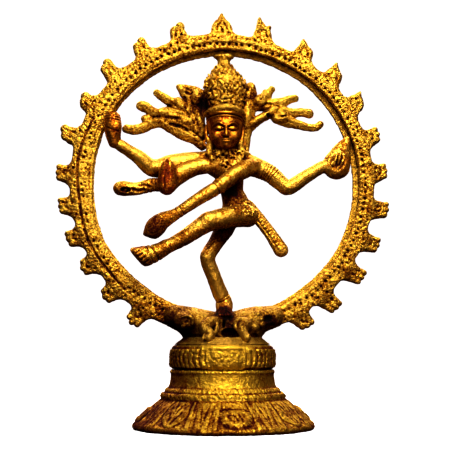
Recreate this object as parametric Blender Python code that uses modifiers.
"""Brass Nataraja: a dancing figure inside a ring of flames, standing on a dwarf, on a hollow turned pedestal.

Every casting is its own object. Lengths are written in millimetres and turned into metres by MM.
The origin is the middle of the pedestal's foot, +Z is up and the figure faces -Y.
Names with right and left mean the dancer's own right and left: the dancer's right is at -X.
"""

import math

import bmesh
import bpy
from mathutils import Matrix, Vector

MM = 0.001

# Driving dimensions, in millimetres.
HEIGHT = 152.0
FIT_GAP = 0.3
DECK_TOP = 32.0
RING_CENTRE_Z = 88.0
RING_INNER_RADIUS = 47.8
BAND_INNER_RADIUS = 48.7
RING_OUTER_RADIUS = 55.4
RING_HOLE_OFFSET = 0.5
RING_FRONT = -3.0
RING_BACK = 2.2
RING_OPEN_HALF_ANGLE = 17.0
TOP_FLAME_REACH = HEIGHT - RING_CENTRE_Z - RING_OUTER_RADIUS
FLAME_REACH = 5.8
FLAME_THICKNESS = 3.4
FLAME_HALF_WIDTH = 3.7
FLAME_LEAN = 3.4
TOP_FLAME_ANGLE = 91.0
SCREW_RADIUS = 2.0
SCREW_HOLE_RADIUS = 2.4
DRUM_CEILING = 27.3
HAIR_DEPTH = 0.75
NECKING_SHIFT = -0.4

# The flames were set by hand, so their tips are a little unevenly spaced round the ring (degrees from +X).
FLAME_TIP_ANGLES = (
    -58, -45.5, -31.5, -18.5, -6, 7, 19.5, 35, 48.5, 62.5, 78, TOP_FLAME_ANGLE,
    105, 119, 134.5, 148.5, 160.5, 176, 187.5, 199, 211.5, 224.5, 236,
)  # fmt: skip

# Turned profiles as (radius, height), each run down its outer side and back up its inner side.
FOOT_PROFILE = (
    (16.2, 22.0), (16.2, 20.6), (18.4, 20.6), (18.6, 18.0), (19.2, 15.4), (20.6, 13.2),
    (22.0, 12.4), (22.4, 11.2), (22.2, 10.5), (24.4, 9.5), (28.2, 6.3), (30.8, 3.8),
    (32.2, 2.2), (32.4, 1.0), (31.8, 0.0), (29.9, 0.0), (28.6, 2.6), (23.8, 7.0),
    (20.4, 9.4), (18.0, 13.2), (16.6, 18.0), (14.6, 19.6), (14.6, 22.0),
)  # fmt: skip
DRUM_PROFILE = (
    (SCREW_HOLE_RADIUS, 29.4), (16.9, 29.4), (17.9, 28.9), (18.5, 27.6), (18.8, 25.0),
    (18.6, 22.6), (18.3, 20.9), (16.6, 20.9), (16.6, 26.4), (15.8, DRUM_CEILING),
    (SCREW_HOLE_RADIUS, DRUM_CEILING),
)  # fmt: skip
DECK_PROFILE = (
    (SCREW_HOLE_RADIUS, DECK_TOP), (13.6, DECK_TOP), (14.5, 31.4), (15.7, 30.5), (17.2, 29.7),
    (SCREW_HOLE_RADIUS, 29.7),
)  # fmt: skip


def clear_scene():
    for obj in list(bpy.data.objects):
        bpy.data.objects.remove(obj, do_unlink=True)


def new_collection(name):
    collection = bpy.data.collections.new(name)
    bpy.context.scene.collection.children.link(collection)
    return collection


def brass(name, colour, roughness):
    """Cast brass: the colour runs from polished yellow to the brown of old metal."""
    material = bpy.data.materials.new(name)
    material.use_nodes = True
    shader = material.node_tree.nodes["Principled BSDF"]
    shader.inputs["Base Color"].default_value = (*colour, 1.0)
    shader.inputs["Metallic"].default_value = 1.0
    shader.inputs["Roughness"].default_value = roughness
    return material


def add_object(name, mesh, collection):
    obj = bpy.data.objects.new(name, mesh)
    collection.objects.link(obj)
    return obj


def evaluated_mesh(obj):
    """A new mesh of the object with its modifiers applied, in world space and with its caps welded."""
    bpy.context.view_layer.update()
    graph = bpy.context.evaluated_depsgraph_get()
    mesh = bpy.data.meshes.new_from_object(obj.evaluated_get(graph))
    mesh.transform(obj.matrix_world)
    shape = bmesh.new()
    shape.from_mesh(mesh)
    bmesh.ops.remove_doubles(shape, verts=shape.verts, dist=0.001 * MM)
    bmesh.ops.recalc_face_normals(shape, faces=shape.faces)
    shape.to_mesh(mesh)
    shape.free()
    return mesh


def triangle_count(mesh):
    return sum(len(face.vertices) - 2 for face in mesh.polygons)


def apply_modifiers(obj):
    mesh = evaluated_mesh(obj)
    obj.modifiers.clear()
    obj.data = mesh


def necked_out(height):
    """How far the casting's axis has crept sideways at a height, from the necking up."""
    climb = min(1.0, max(0.0, (height - 9.0) / 5.0))
    return NECKING_SHIFT * climb * climb * (3.0 - 2.0 * climb)


def turned(name, profile, steps, collection):
    """A turned shell or disc: a closed profile swept round Z by a Screw."""
    mesh = bpy.data.meshes.new(name)
    points = [(radius * MM, 0.0, height * MM) for radius, height in profile]
    edges = [(i, (i + 1) % len(points)) for i in range(len(points))]
    mesh.from_pydata(points, edges, [])
    obj = add_object(name, mesh, collection)
    screw = obj.modifiers.new("turning", "SCREW")
    screw.steps = steps
    screw.render_steps = steps
    screw.use_merge_vertices = True
    screw.merge_threshold = 0.01 * MM
    apply_modifiers(obj)
    for vertex in obj.data.vertices:
        vertex.co.x += necked_out(vertex.co.z / MM) * MM
    return obj


def limb(points, depth):
    """A round limb through points (x, y, z, radius), with round ends. depth scales it along Y."""
    curve = bpy.data.curves.new("limb", "CURVE")
    curve.dimensions = "3D"
    curve.bevel_depth = MM
    curve.bevel_resolution = 3
    curve.resolution_u = 5
    curve.use_fill_caps = True
    spline = curve.splines.new("BEZIER")
    spline.bezier_points.add(len(points) - 1)
    for knot, (x, y, z, radius) in zip(spline.bezier_points, points):
        knot.co = (x * MM, y * MM, z * MM)
        knot.radius = radius
        knot.handle_left_type = "AUTO"
        knot.handle_right_type = "AUTO"
    tube = add_object("limb", curve, bpy.context.scene.collection)
    shape = bmesh.new()
    shape.from_mesh(evaluated_mesh(tube))
    bpy.data.objects.remove(tube)
    for x, y, z, radius in (points[0], points[-1]):
        place = Matrix.Translation(Vector((x, y, z)) * MM)
        bmesh.ops.create_uvsphere(
            shape, u_segments=16, v_segments=10, radius=radius * MM, matrix=place
        )
    middle = sum(point[1] for point in points) / len(points) * MM
    for vertex in shape.verts:
        vertex.co.y = middle + (vertex.co.y - middle) * depth
    return shape


def lump(centre, radii, tilt):
    """An ellipsoid, tilted in the X-Z plane by tilt degrees."""
    shape = bmesh.new()
    place = (
        Matrix.Translation(Vector(centre) * MM)
        @ Matrix.Rotation(math.radians(tilt), 4, "Y")
        @ Matrix.Diagonal((*(Vector(radii) * MM), 1.0))
    )
    bmesh.ops.create_uvsphere(shape, u_segments=20, v_segments=12, radius=1.0, matrix=place)
    return shape


def casting(name, collection, limbs=(), lumps=(), depth=1.0, triangles=300, voxel=0.6):
    """One cast piece: its limbs and lumps melted together, smoothed and thinned to a number of triangles."""
    whole = bmesh.new()
    shapes = [limb(points, depth) for points in limbs]
    shapes += [lump(*shape) for shape in lumps]
    for shape in shapes:
        part = bpy.data.meshes.new("shape")
        shape.to_mesh(part)
        shape.free()
        whole.from_mesh(part)
        bpy.data.meshes.remove(part)
    mesh = bpy.data.meshes.new(name)
    whole.to_mesh(mesh)
    whole.free()
    obj = add_object(name, mesh, collection)
    melt = obj.modifiers.new("melt", "REMESH")
    melt.mode = "VOXEL"
    melt.voxel_size = voxel * MM
    smooth = obj.modifiers.new("smooth", "SMOOTH")
    smooth.factor = 0.5
    smooth.iterations = 4
    apply_modifiers(obj)
    thin = obj.modifiers.new("thin", "DECIMATE")
    thin.ratio = min(1.0, triangles / triangle_count(obj.data))
    apply_modifiers(obj)
    return obj


def boolean(obj, other, operation, solver="EXACT"):
    step = obj.modifiers.new(operation.lower(), "BOOLEAN")
    step.operation = operation
    step.solver = solver
    step.object = other
    apply_modifiers(obj)


def as_cutter(obj, collection):
    obj.hide_render = True
    obj.display_type = "WIRE"
    for user in list(obj.users_collection):
        user.objects.unlink(obj)
    collection.objects.link(obj)


def seat(piece, neighbours, cutters):
    """Cuts the piece back so that it meets each neighbour with the fit gap between them.

    A grown copy of the neighbour can cross itself in its folds. Only the MANIFOLD solver cuts well with that.
    """
    for neighbour in neighbours:
        cutter = add_object(f"{piece.name}_on_{neighbour.name}", neighbour.data.copy(), cutters)
        grow = cutter.modifiers.new("gap", "DISPLACE")
        grow.strength = FIT_GAP * MM
        grow.mid_level = 0.0
        apply_modifiers(cutter)
        as_cutter(cutter, cutters)
        boolean(piece, cutter, "DIFFERENCE", solver="MANIFOLD")
    keep_largest_body(piece)


def keep_largest_body(piece):
    """Drops the crumbs that a cut can leave beside the main body."""
    shape = bmesh.new()
    shape.from_mesh(piece.data)
    shape.verts.ensure_lookup_table()
    unseen = set(shape.verts)
    bodies = []
    while unseen:
        body = set()
        edge_of_search = [unseen.pop()]
        while edge_of_search:
            vertex = edge_of_search.pop()
            body.add(vertex)
            for edge in vertex.link_edges:
                other = edge.other_vert(vertex)
                if other in unseen:
                    unseen.discard(other)
                    edge_of_search.append(other)
        bodies.append(body)
    largest = max(bodies, key=len)
    crumbs = [vertex for body in bodies if body is not largest for vertex in body]
    bmesh.ops.delete(shape, geom=crumbs, context="VERTS")
    shape.to_mesh(piece.data)
    shape.free()


def trim_below(piece, height, cutters):
    """Cuts the piece off flat at a height."""
    bpy.ops.mesh.primitive_cube_add(size=1.0, location=(0.0, 0.0, (height - 15.0) * MM))
    block = bpy.context.object
    block.name = f"{piece.name}_base_cut"
    block.scale = (80 * MM, 60 * MM, 30 * MM)
    as_cutter(block, cutters)
    boolean(piece, block, "DIFFERENCE")


def round_bar(name, radius, bottom, top, sides, collection):
    """An upright cylinder or hexagon on the pedestal's axis."""
    shape = bmesh.new()
    place = Matrix.Translation((0.0, 0.0, (bottom + top) / 2 * MM))
    bmesh.ops.create_cone(
        shape,
        cap_ends=True,
        segments=sides,
        radius1=radius * MM,
        radius2=radius * MM,
        depth=(top - bottom) * MM,
        matrix=place,
    )
    mesh = bpy.data.meshes.new(name)
    shape.to_mesh(mesh)
    shape.free()
    return add_object(name, mesh, collection)


def pedestal(statue):
    """Hollow foot with a rope moulding, a fluted drum that fits over its spigot, and a sloping deck."""
    foot = turned("pedestal_foot", FOOT_PROFILE, 40, statue)
    drum = turned("pedestal_drum", DRUM_PROFILE, 36, statue)
    deck = turned("pedestal_deck", DECK_PROFILE, 32, statue)
    return foot, drum, deck


def fixing(statue, dwarf, cutters):
    """The hexagon-headed screw and washer that pull the dwarf down on the deck from inside the drum."""
    washer_top = DRUM_CEILING - FIT_GAP
    washer_profile = (
        (SCREW_HOLE_RADIUS, washer_top), (5.0, washer_top), (5.0, washer_top - 1.0),
        (SCREW_HOLE_RADIUS, washer_top - 1.0),
    )  # fmt: skip
    turned("fixing_washer", washer_profile, 24, statue)
    head_top = washer_top - 1.0 - FIT_GAP
    shank_top = 36.5
    screw = round_bar("fixing_screw", SCREW_RADIUS, head_top - 0.5, shank_top, 20, statue)
    head = round_bar("screw_head", 4.0, head_top - 2.8, head_top, 6, cutters)
    as_cutter(head, cutters)
    boolean(screw, head, "UNION")
    hole = round_bar("dwarf_screw_hole", SCREW_HOLE_RADIUS, DECK_TOP - 1.0, shank_top + 0.5, 20, cutters)
    as_cutter(hole, cutters)
    boolean(dwarf, hole, "DIFFERENCE")


def flame_outline(tip_angle):
    """A leaf-shaped flame in the ring's plane, its tip drawn towards the ring's top."""
    is_top = tip_angle == TOP_FLAME_ANGLE
    reach = TOP_FLAME_REACH if is_top else FLAME_REACH
    lean = 0.0 if is_top else math.copysign(FLAME_LEAN, TOP_FLAME_ANGLE - tip_angle)
    sunk = 1.5
    leaf = (
        (0.0, -1.0), (0.3, -0.9), (0.6, -0.95), (0.82, -0.6), (1.0, 0.0),
        (0.82, 0.6), (0.6, 0.95), (0.3, 0.9), (0.0, 1.0),
    )  # fmt: skip
    outline = []
    for height, side in leaf:
        radius = RING_OUTER_RADIUS - sunk + height * (reach + sunk)
        turn = math.radians(tip_angle + side * FLAME_HALF_WIDTH - lean * (1.0 - height**2))
        outline.append((radius * math.cos(turn), radius * math.sin(turn)))
    return outline


def flames(cutters):
    """All the flames as flat extruded leaves, ready to be joined to the band."""
    curve = bpy.data.curves.new("flames", "CURVE")
    curve.dimensions = "2D"
    curve.fill_mode = "BOTH"
    curve.extrude = FLAME_THICKNESS / 2 * MM
    for tip_angle in FLAME_TIP_ANGLES:
        outline = flame_outline(tip_angle)
        spline = curve.splines.new("POLY")
        spline.use_cyclic_u = True
        spline.points.add(len(outline) - 1)
        for point, (x, z) in zip(spline.points, outline):
            point.co = (x * MM, z * MM, 0.0, 1.0)
    drawn = add_object("flames_outline", curve, bpy.context.scene.collection)
    drawn.rotation_euler.x = math.pi / 2
    drawn.location = (0.0, 0.0, RING_CENTRE_Z * MM)
    mesh = evaluated_mesh(drawn)
    bpy.data.objects.remove(drawn)
    solid = add_object("flames", mesh, cutters)
    as_cutter(solid, cutters)
    return solid


def flame_ring(statue, cutters):
    """The ring: a band with a set-back inner flange, open at the bottom, its hole a little off centre."""
    profile = (
        (RING_INNER_RADIUS, RING_BACK), (RING_INNER_RADIUS, 0.2), (BAND_INNER_RADIUS, 0.2),
        (BAND_INNER_RADIUS, -2.4), (49.8, RING_FRONT), (54.0, -2.7), (RING_OUTER_RADIUS, -1.7),
        (RING_OUTER_RADIUS, RING_BACK),
    )  # fmt: skip
    first = math.radians(RING_OPEN_HALF_ANGLE - 90.0)
    sweep = math.radians(360.0 - 2.0 * RING_OPEN_HALF_ANGLE)
    shape = bmesh.new()
    start = [
        shape.verts.new((r * math.cos(first) * MM, y * MM, r * math.sin(first) * MM))
        for r, y in profile
    ]
    section = shape.faces.new(start)
    bmesh.ops.spin(
        shape,
        geom=[section, *section.edges, *section.verts],
        cent=(0.0, 0.0, 0.0),
        axis=(0.0, -1.0, 0.0),
        angle=sweep,
        steps=60,
        use_duplicate=False,
    )
    for vertex in shape.verts:
        radius = math.hypot(vertex.co.x, vertex.co.z) / MM
        inward = (RING_OUTER_RADIUS - radius) / (RING_OUTER_RADIUS - RING_INNER_RADIUS)
        vertex.co.x += RING_HOLE_OFFSET * inward * MM
    bmesh.ops.recalc_face_normals(shape, faces=shape.faces)
    mesh = bpy.data.meshes.new("flame_ring")
    shape.to_mesh(mesh)
    shape.free()
    ring = add_object("flame_ring", mesh, statue)
    ring.location.z = RING_CENTRE_Z * MM
    apply_modifiers(ring)
    ring.location.z = 0.0
    boolean(ring, flames(cutters), "UNION")
    return ring


def dwarf(statue, deck, ring, cutters):
    """The crouching dwarf: a boat-shaped back whose ends hold the ring, with head, arm and leg in front."""
    body = casting(
        "dwarf_body",
        statue,
        limbs=[
            [(-18.0, -0.5, 39.6, 4.0), (-12.0, -0.5, 38.2, 4.9), (0.0, -0.5, 36.3, 4.9),
             (11.0, -0.5, 38.4, 4.9), (17.8, -0.5, 39.4, 4.0)],
        ],
        lumps=[((-0.3, 1.0, 33.6), (15.4, 8.6, 4.4), 0.0)],
        depth=1.45,
        triangles=560,
    )  # fmt: skip
    trim_below(body, DECK_TOP + FIT_GAP, cutters)
    seat(body, [ring], cutters)
    head = casting(
        "dwarf_head",
        statue,
        lumps=[
            ((-12.6, -8.2, 36.6), (2.6, 3.0, 2.6), 0.0),
            ((-14.0, -6.0, 37.2), (3.0, 3.0, 2.8), 0.0),
        ],
        triangles=220,
    )
    arm = casting(
        "dwarf_arm",
        statue,
        limbs=[
            [(-3.0, -6.0, 37.4, 2.2), (-7.2, -9.6, 35.4, 2.3), (-5.6, -12.8, 33.2, 1.7),
             (-6.2, -14.4, 31.8, 1.5)],
        ],
        triangles=260,
    )
    leg = casting(
        "dwarf_leg",
        statue,
        limbs=[
            [(8.6, -5.5, 36.6, 2.6), (5.4, -9.8, 35.2, 2.6), (5.6, -12.4, 33.0, 1.9),
             (6.2, -14.6, 31.8, 1.6)],
        ],
        lumps=[((11.4, -7.0, 35.8), (2.2, 2.4, 2.2), 0.0)],
        triangles=300,
    )
    for piece in (head, arm, leg):
        seat(piece, [body, deck], cutters)
    return body


def dancer_core(statue, ring, cutters):
    """Torso, jewelled collar with the neck, head and tall crown, each resting on the one below."""
    torso = casting(
        "torso",
        statue,
        limbs=[
            [(1.6, 0.0, 93.0, 5.4), (3.0, -0.2, 88.6, 4.3), (3.2, -0.3, 84.4, 4.1),
             (4.4, -0.4, 80.4, 4.8), (4.8, -0.4, 77.2, 5.2)],
        ],
        lumps=[((1.4, 0.0, 94.0), (8.8, 4.4, 4.0), 3.0), ((5.2, -0.3, 76.8), (6.4, 4.4, 4.4), 0.0)],
        triangles=420,
    )
    collar = casting(
        "neck_collar",
        statue,
        limbs=[[(0.3, -0.6, 97.4, 3.6), (0.2, -1.0, 102.4, 3.0)]],
        lumps=[((0.8, -0.4, 98.4), (8.8, 4.6, 2.6), 2.0), ((0.4, 1.0, 101.6), (5.8, 2.8, 3.6), 0.0)],
        triangles=300,
    )
    head = casting(
        "head",
        statue,
        lumps=[
            ((0.2, -1.6, 109.4), (6.7, 6.4, 6.2), 0.0),
            ((0.2, -2.6, 106.0), (5.6, 5.6, 6.4), 0.0),
        ],
        triangles=380,
    )
    crown = casting(
        "crown",
        statue,
        limbs=[
            [(0.6, -0.8, 116.4, 6.3), (0.9, -0.4, 119.4, 6.8), (0.6, 0.0, 123.8, 7.9),
             (0.5, 0.0, 127.2, 7.2), (0.4, 0.0, 130.4, 4.6), (0.1, 0.0, 132.6, 2.9),
             (0.0, 0.0, 133.4, 2.8)],
        ],
        lumps=[((0.0, -0.4, 135.2), (3.9, 2.2, 1.3), 0.0)],
        depth=0.85,
        triangles=380,
    )  # fmt: skip
    seat(collar, [torso], cutters)
    seat(head, [collar], cutters)
    seat(crown, [head, ring], cutters)
    return torso, collar, head, crown


def hair(statue, neighbours, cutters):
    """The two fans of flying locks behind the head, whose lowest locks lie on the shoulders."""
    right_locks = [
        [(-16.4, 1.5, 124.0, 1.2), (-12.5, 1.5, 122.4, 2.3), (-8.5, 1.5, 120.2, 3.2),
         (-5.5, 1.5, 117.0, 3.2)],
        [(-24.8, 1.5, 121.4, 1.4), (-22.8, 1.5, 120.0, 1.9), (-19.0, 1.5, 118.1, 2.1),
         (-15.0, 1.5, 116.2, 2.5), (-8.0, 1.5, 113.6, 3.0)],
        [(-30.4, 1.5, 114.6, 2.1), (-28.6, 1.5, 114.2, 2.2), (-25.6, 1.5, 112.4, 2.0),
         (-20.0, 1.5, 112.0, 2.2), (-14.5, 1.5, 112.0, 2.6), (-8.0, 1.5, 110.6, 3.2)],
        [(-36.2, 1.5, 108.2, 1.4), (-33.8, 1.5, 107.1, 1.6), (-31.0, 1.5, 107.2, 1.8),
         (-26.6, 1.5, 109.2, 2.0), (-21.0, 1.5, 110.2, 2.2), (-15.0, 1.5, 109.4, 2.6),
         (-8.0, 1.5, 107.4, 3.0)],
        [(-18.6, 1.5, 108.6, 1.8), (-12.4, 1.5, 105.6, 2.1), (-7.8, 1.5, 103.0, 1.8),
         (-7.4, 1.0, 99.8, 1.8)],
    ]  # fmt: skip
    left_locks = [
        [(12.0, 1.5, 125.4, 1.3), (10.4, 1.5, 122.4, 2.4), (8.4, 1.5, 118.4, 3.0), (7.2, 1.5, 113.0, 2.8),
         (7.6, 1.5, 106.6, 2.4), (8.4, 1.0, 100.4, 1.8)],
        [(19.0, 1.5, 123.9, 1.1), (17.2, 1.5, 122.6, 1.5), (14.4, 1.5, 120.2, 2.7),
         (9.0, 1.5, 116.2, 2.8)],
        [(27.0, 1.5, 120.5, 1.3), (25.0, 1.5, 119.7, 1.6), (20.0, 1.5, 117.7, 1.9),
         (14.0, 1.5, 117.0, 2.2)],
        [(32.6, 1.5, 114.4, 1.4), (30.4, 1.5, 114.9, 1.6), (25.0, 1.5, 115.0, 1.8),
         (20.6, 1.5, 114.2, 2.4), (18.0, 1.5, 116.2, 1.9)],
        [(36.3, 1.5, 110.6, 1.4), (34.8, 1.5, 109.4, 1.6), (32.4, 1.5, 109.4, 1.7),
         (26.0, 1.5, 110.4, 1.9), (20.6, 1.5, 112.8, 2.3)],
        [(18.0, 1.5, 115.2, 2.2), (13.6, 1.5, 112.8, 2.6), (9.8, 1.5, 109.2, 2.8)],
    ]  # fmt: skip
    for name, locks in (("hair_fan_right", right_locks), ("hair_fan_left", left_locks)):
        fan = casting(name, statue, limbs=locks, depth=HAIR_DEPTH, triangles=600)
        seat(fan, neighbours, cutters)


def arms(statue, torso, collar, ring, cutters):
    """Four arms and what they hold. Gives back the two arms that the hair rests on."""
    drum_arm = casting(
        "drum_arm",
        statue,
        limbs=[
            [(-5.0, 0.8, 95.8, 3.5), (-13.0, 0.6, 95.2, 3.4), (-19.0, 0.4, 93.9, 3.5),
             (-23.6, 0.0, 92.4, 3.2), (-27.0, -1.0, 92.5, 2.9), (-31.2, -2.6, 95.8, 2.3),
             (-34.6, -3.6, 97.9, 1.9), (-37.4, -4.4, 100.0, 2.1)],
        ],
        triangles=300,
    )  # fmt: skip
    drum = casting(
        "hand_drum",
        statue,
        lumps=[
            ((-40.0, -5.0, 108.6), (3.0, 2.9, 3.2), 0.0),
            ((-39.9, -5.0, 103.6), (3.3, 3.0, 4.2), 0.0),
        ],
        triangles=220,
    )
    blessing_arm = casting(
        "blessing_arm",
        statue,
        limbs=[
            [(-4.6, -3.6, 94.0, 2.4), (-11.0, -4.4, 92.6, 2.3), (-16.6, -4.4, 89.4, 2.7),
             (-20.0, -3.8, 85.6, 2.4)],
        ],
        triangles=220,
    )
    blessing_hand = casting(
        "blessing_hand", statue, lumps=[((-20.6, -7.6, 89.1), (3.4, 1.7, 6.5), 0.0)], triangles=200
    )
    serpent = casting(
        "serpent",
        statue,
        limbs=[
            [(-22.2, -2.6, 86.4, 2.1), (-26.0, -2.6, 86.4, 2.4), (-32.0, -2.8, 84.8, 2.2),
             (-36.6, -3.0, 84.9, 2.5), (-38.2, -3.0, 85.1, 2.3)],
        ],
        triangles=220,
    )  # fmt: skip
    crossing_arm = casting(
        "crossing_arm",
        statue,
        limbs=[
            [(8.4, -3.4, 93.4, 3.2), (2.6, -7.0, 89.0, 2.9), (-2.2, -9.2, 85.2, 2.6),
             (-8.6, -10.0, 81.0, 2.3), (-15.0, -10.0, 76.6, 2.0), (-19.0, -10.0, 74.1, 2.0),
             (-22.8, -9.6, 72.6, 2.7), (-25.2, -9.2, 70.6, 3.3), (-26.6, -9.0, 68.2, 2.5)],
        ],
        triangles=360,
    )  # fmt: skip
    flame_arm = casting(
        "flame_arm",
        statue,
        limbs=[
            [(9.0, 0.6, 95.0, 3.5), (16.6, 0.0, 91.8, 3.4), (21.0, -0.6, 88.5, 3.0),
             (23.6, -1.0, 86.8, 2.6), (30.6, -1.2, 90.2, 2.3), (36.0, -1.0, 93.6, 2.1)],
        ],
        triangles=260,
    )  # fmt: skip
    bowl = casting(
        "flame_bowl",
        statue,
        limbs=[[(41.0, -1.0, 95.6, 4.9), (43.2, -1.0, 101.4, 3.0), (44.3, -1.0, 105.4, 1.0)]],
        depth=0.55,
        triangles=220,
    )
    seat(drum_arm, [torso, collar], cutters)
    seat(drum, [drum_arm], cutters)
    seat(blessing_arm, [torso, collar, drum_arm], cutters)
    seat(blessing_hand, [blessing_arm, drum_arm], cutters)
    seat(serpent, [blessing_arm, blessing_hand, drum_arm], cutters)
    seat(crossing_arm, [torso, collar], cutters)
    seat(flame_arm, [torso, collar, crossing_arm], cutters)
    seat(bowl, [flame_arm, ring], cutters)
    return drum_arm, flame_arm


def legs(statue, torso, dwarf_body, cutters):
    """The bent standing leg, the leg raised across the body, and the sash that flies from the hip."""
    standing = casting(
        "standing_leg",
        statue,
        limbs=[
            [(1.6, 0.4, 74.4, 3.7), (0.2, 0.0, 71.0, 3.5), (-2.8, -1.5, 66.0, 2.8),
             (-6.0, -3.0, 60.3, 2.6), (-4.2, -2.2, 54.5, 2.4), (-2.0, -1.0, 49.0, 2.5),
             (-0.2, 0.0, 45.2, 2.8), (0.3, 0.0, 43.2, 2.8)],
            [(-1.0, 0.2, 43.0, 2.3), (-1.6, -3.6, 41.8, 2.0), (-2.0, -6.8, 40.6, 1.4)],
            [(1.4, 0.2, 43.0, 2.3), (1.4, -3.6, 42.0, 2.1), (1.2, -6.4, 40.9, 1.4)],
        ],
        triangles=440,
    )  # fmt: skip
    raised = casting(
        "raised_leg",
        statue,
        limbs=[
            [(8.4, -3.4, 75.4, 3.9), (4.8, -5.6, 75.1, 3.9), (-0.2, -8.2, 74.1, 3.7),
             (-6.7, -10.0, 72.3, 3.3), (-14.9, -10.0, 67.0, 3.0), (-21.4, -10.0, 63.3, 2.8),
             (-24.6, -9.6, 61.6, 2.7), (-28.0, -9.2, 60.4, 2.8)],
            [(-31.4, -9.2, 61.0, 2.0), (-27.6, -9.2, 57.6, 2.1)],
        ],
        lumps=[((-29.2, -9.2, 59.8), (3.2, 2.6, 3.1), 0.0)],
        triangles=420,
    )  # fmt: skip
    sash = casting(
        "sash",
        statue,
        limbs=[
            [(8.8, 1.0, 79.6, 2.6), (12.6, 1.2, 75.0, 2.2), (16.9, 1.2, 69.4, 2.2),
             (20.9, 1.2, 63.6, 2.6)],
        ],
        depth=0.5,
        triangles=200,
    )
    seat(raised, [torso], cutters)
    seat(standing, [torso, raised, dwarf_body], cutters)
    seat(sash, [torso, raised], cutters)


MATERIALS = {
    "pedestal_foot": ("old_brass", (0.50, 0.30, 0.06), 0.42),
    "pedestal_drum": ("ridged_brass", (0.46, 0.27, 0.05), 0.45),
    "pedestal_deck": ("dusty_brass", (0.32, 0.22, 0.06), 0.6),
    "fixing_washer": ("plain_steel_washer", (0.45, 0.44, 0.42), 0.4),
    "fixing_screw": ("plain_steel_screw", (0.42, 0.41, 0.40), 0.4),
    "dwarf_body": ("dwarf_brass", (0.34, 0.22, 0.05), 0.55),
    "flame_ring": ("pitted_brass", (0.62, 0.38, 0.07), 0.4),
    "head": ("brown_brass", (0.22, 0.10, 0.03), 0.38),
    "hand_drum": ("drum_brown_brass", (0.20, 0.09, 0.03), 0.4),
    "blessing_hand": ("palm_brown_brass", (0.22, 0.11, 0.03), 0.38),
}
LIMB_BRASS = ((0.52, 0.30, 0.06), 0.36)


def finish(statue):
    """Gives each piece its own brass, and shades the round surfaces smooth."""
    for obj in statue.objects:
        name, colour, roughness = MATERIALS.get(obj.name, (f"{obj.name}_brass", *LIMB_BRASS))
        obj.data.materials.clear()
        obj.data.materials.append(brass(name, colour, roughness))
        obj.data.shade_smooth()
        obj.data.set_sharp_from_angle(angle=math.radians(35))


def main():
    clear_scene()
    statue = new_collection("brass_nataraja_statue")
    cutters = new_collection("cutters")
    _, _, deck = pedestal(statue)
    ring = flame_ring(statue, cutters)
    dwarf_body = dwarf(statue, deck, ring, cutters)
    fixing(statue, dwarf_body, cutters)
    torso, collar, head, crown = dancer_core(statue, ring, cutters)
    legs(statue, torso, dwarf_body, cutters)
    drum_arm, flame_arm = arms(statue, torso, collar, ring, cutters)
    hair(statue, [torso, collar, head, crown, drum_arm, flame_arm], cutters)
    finish(statue)


main()
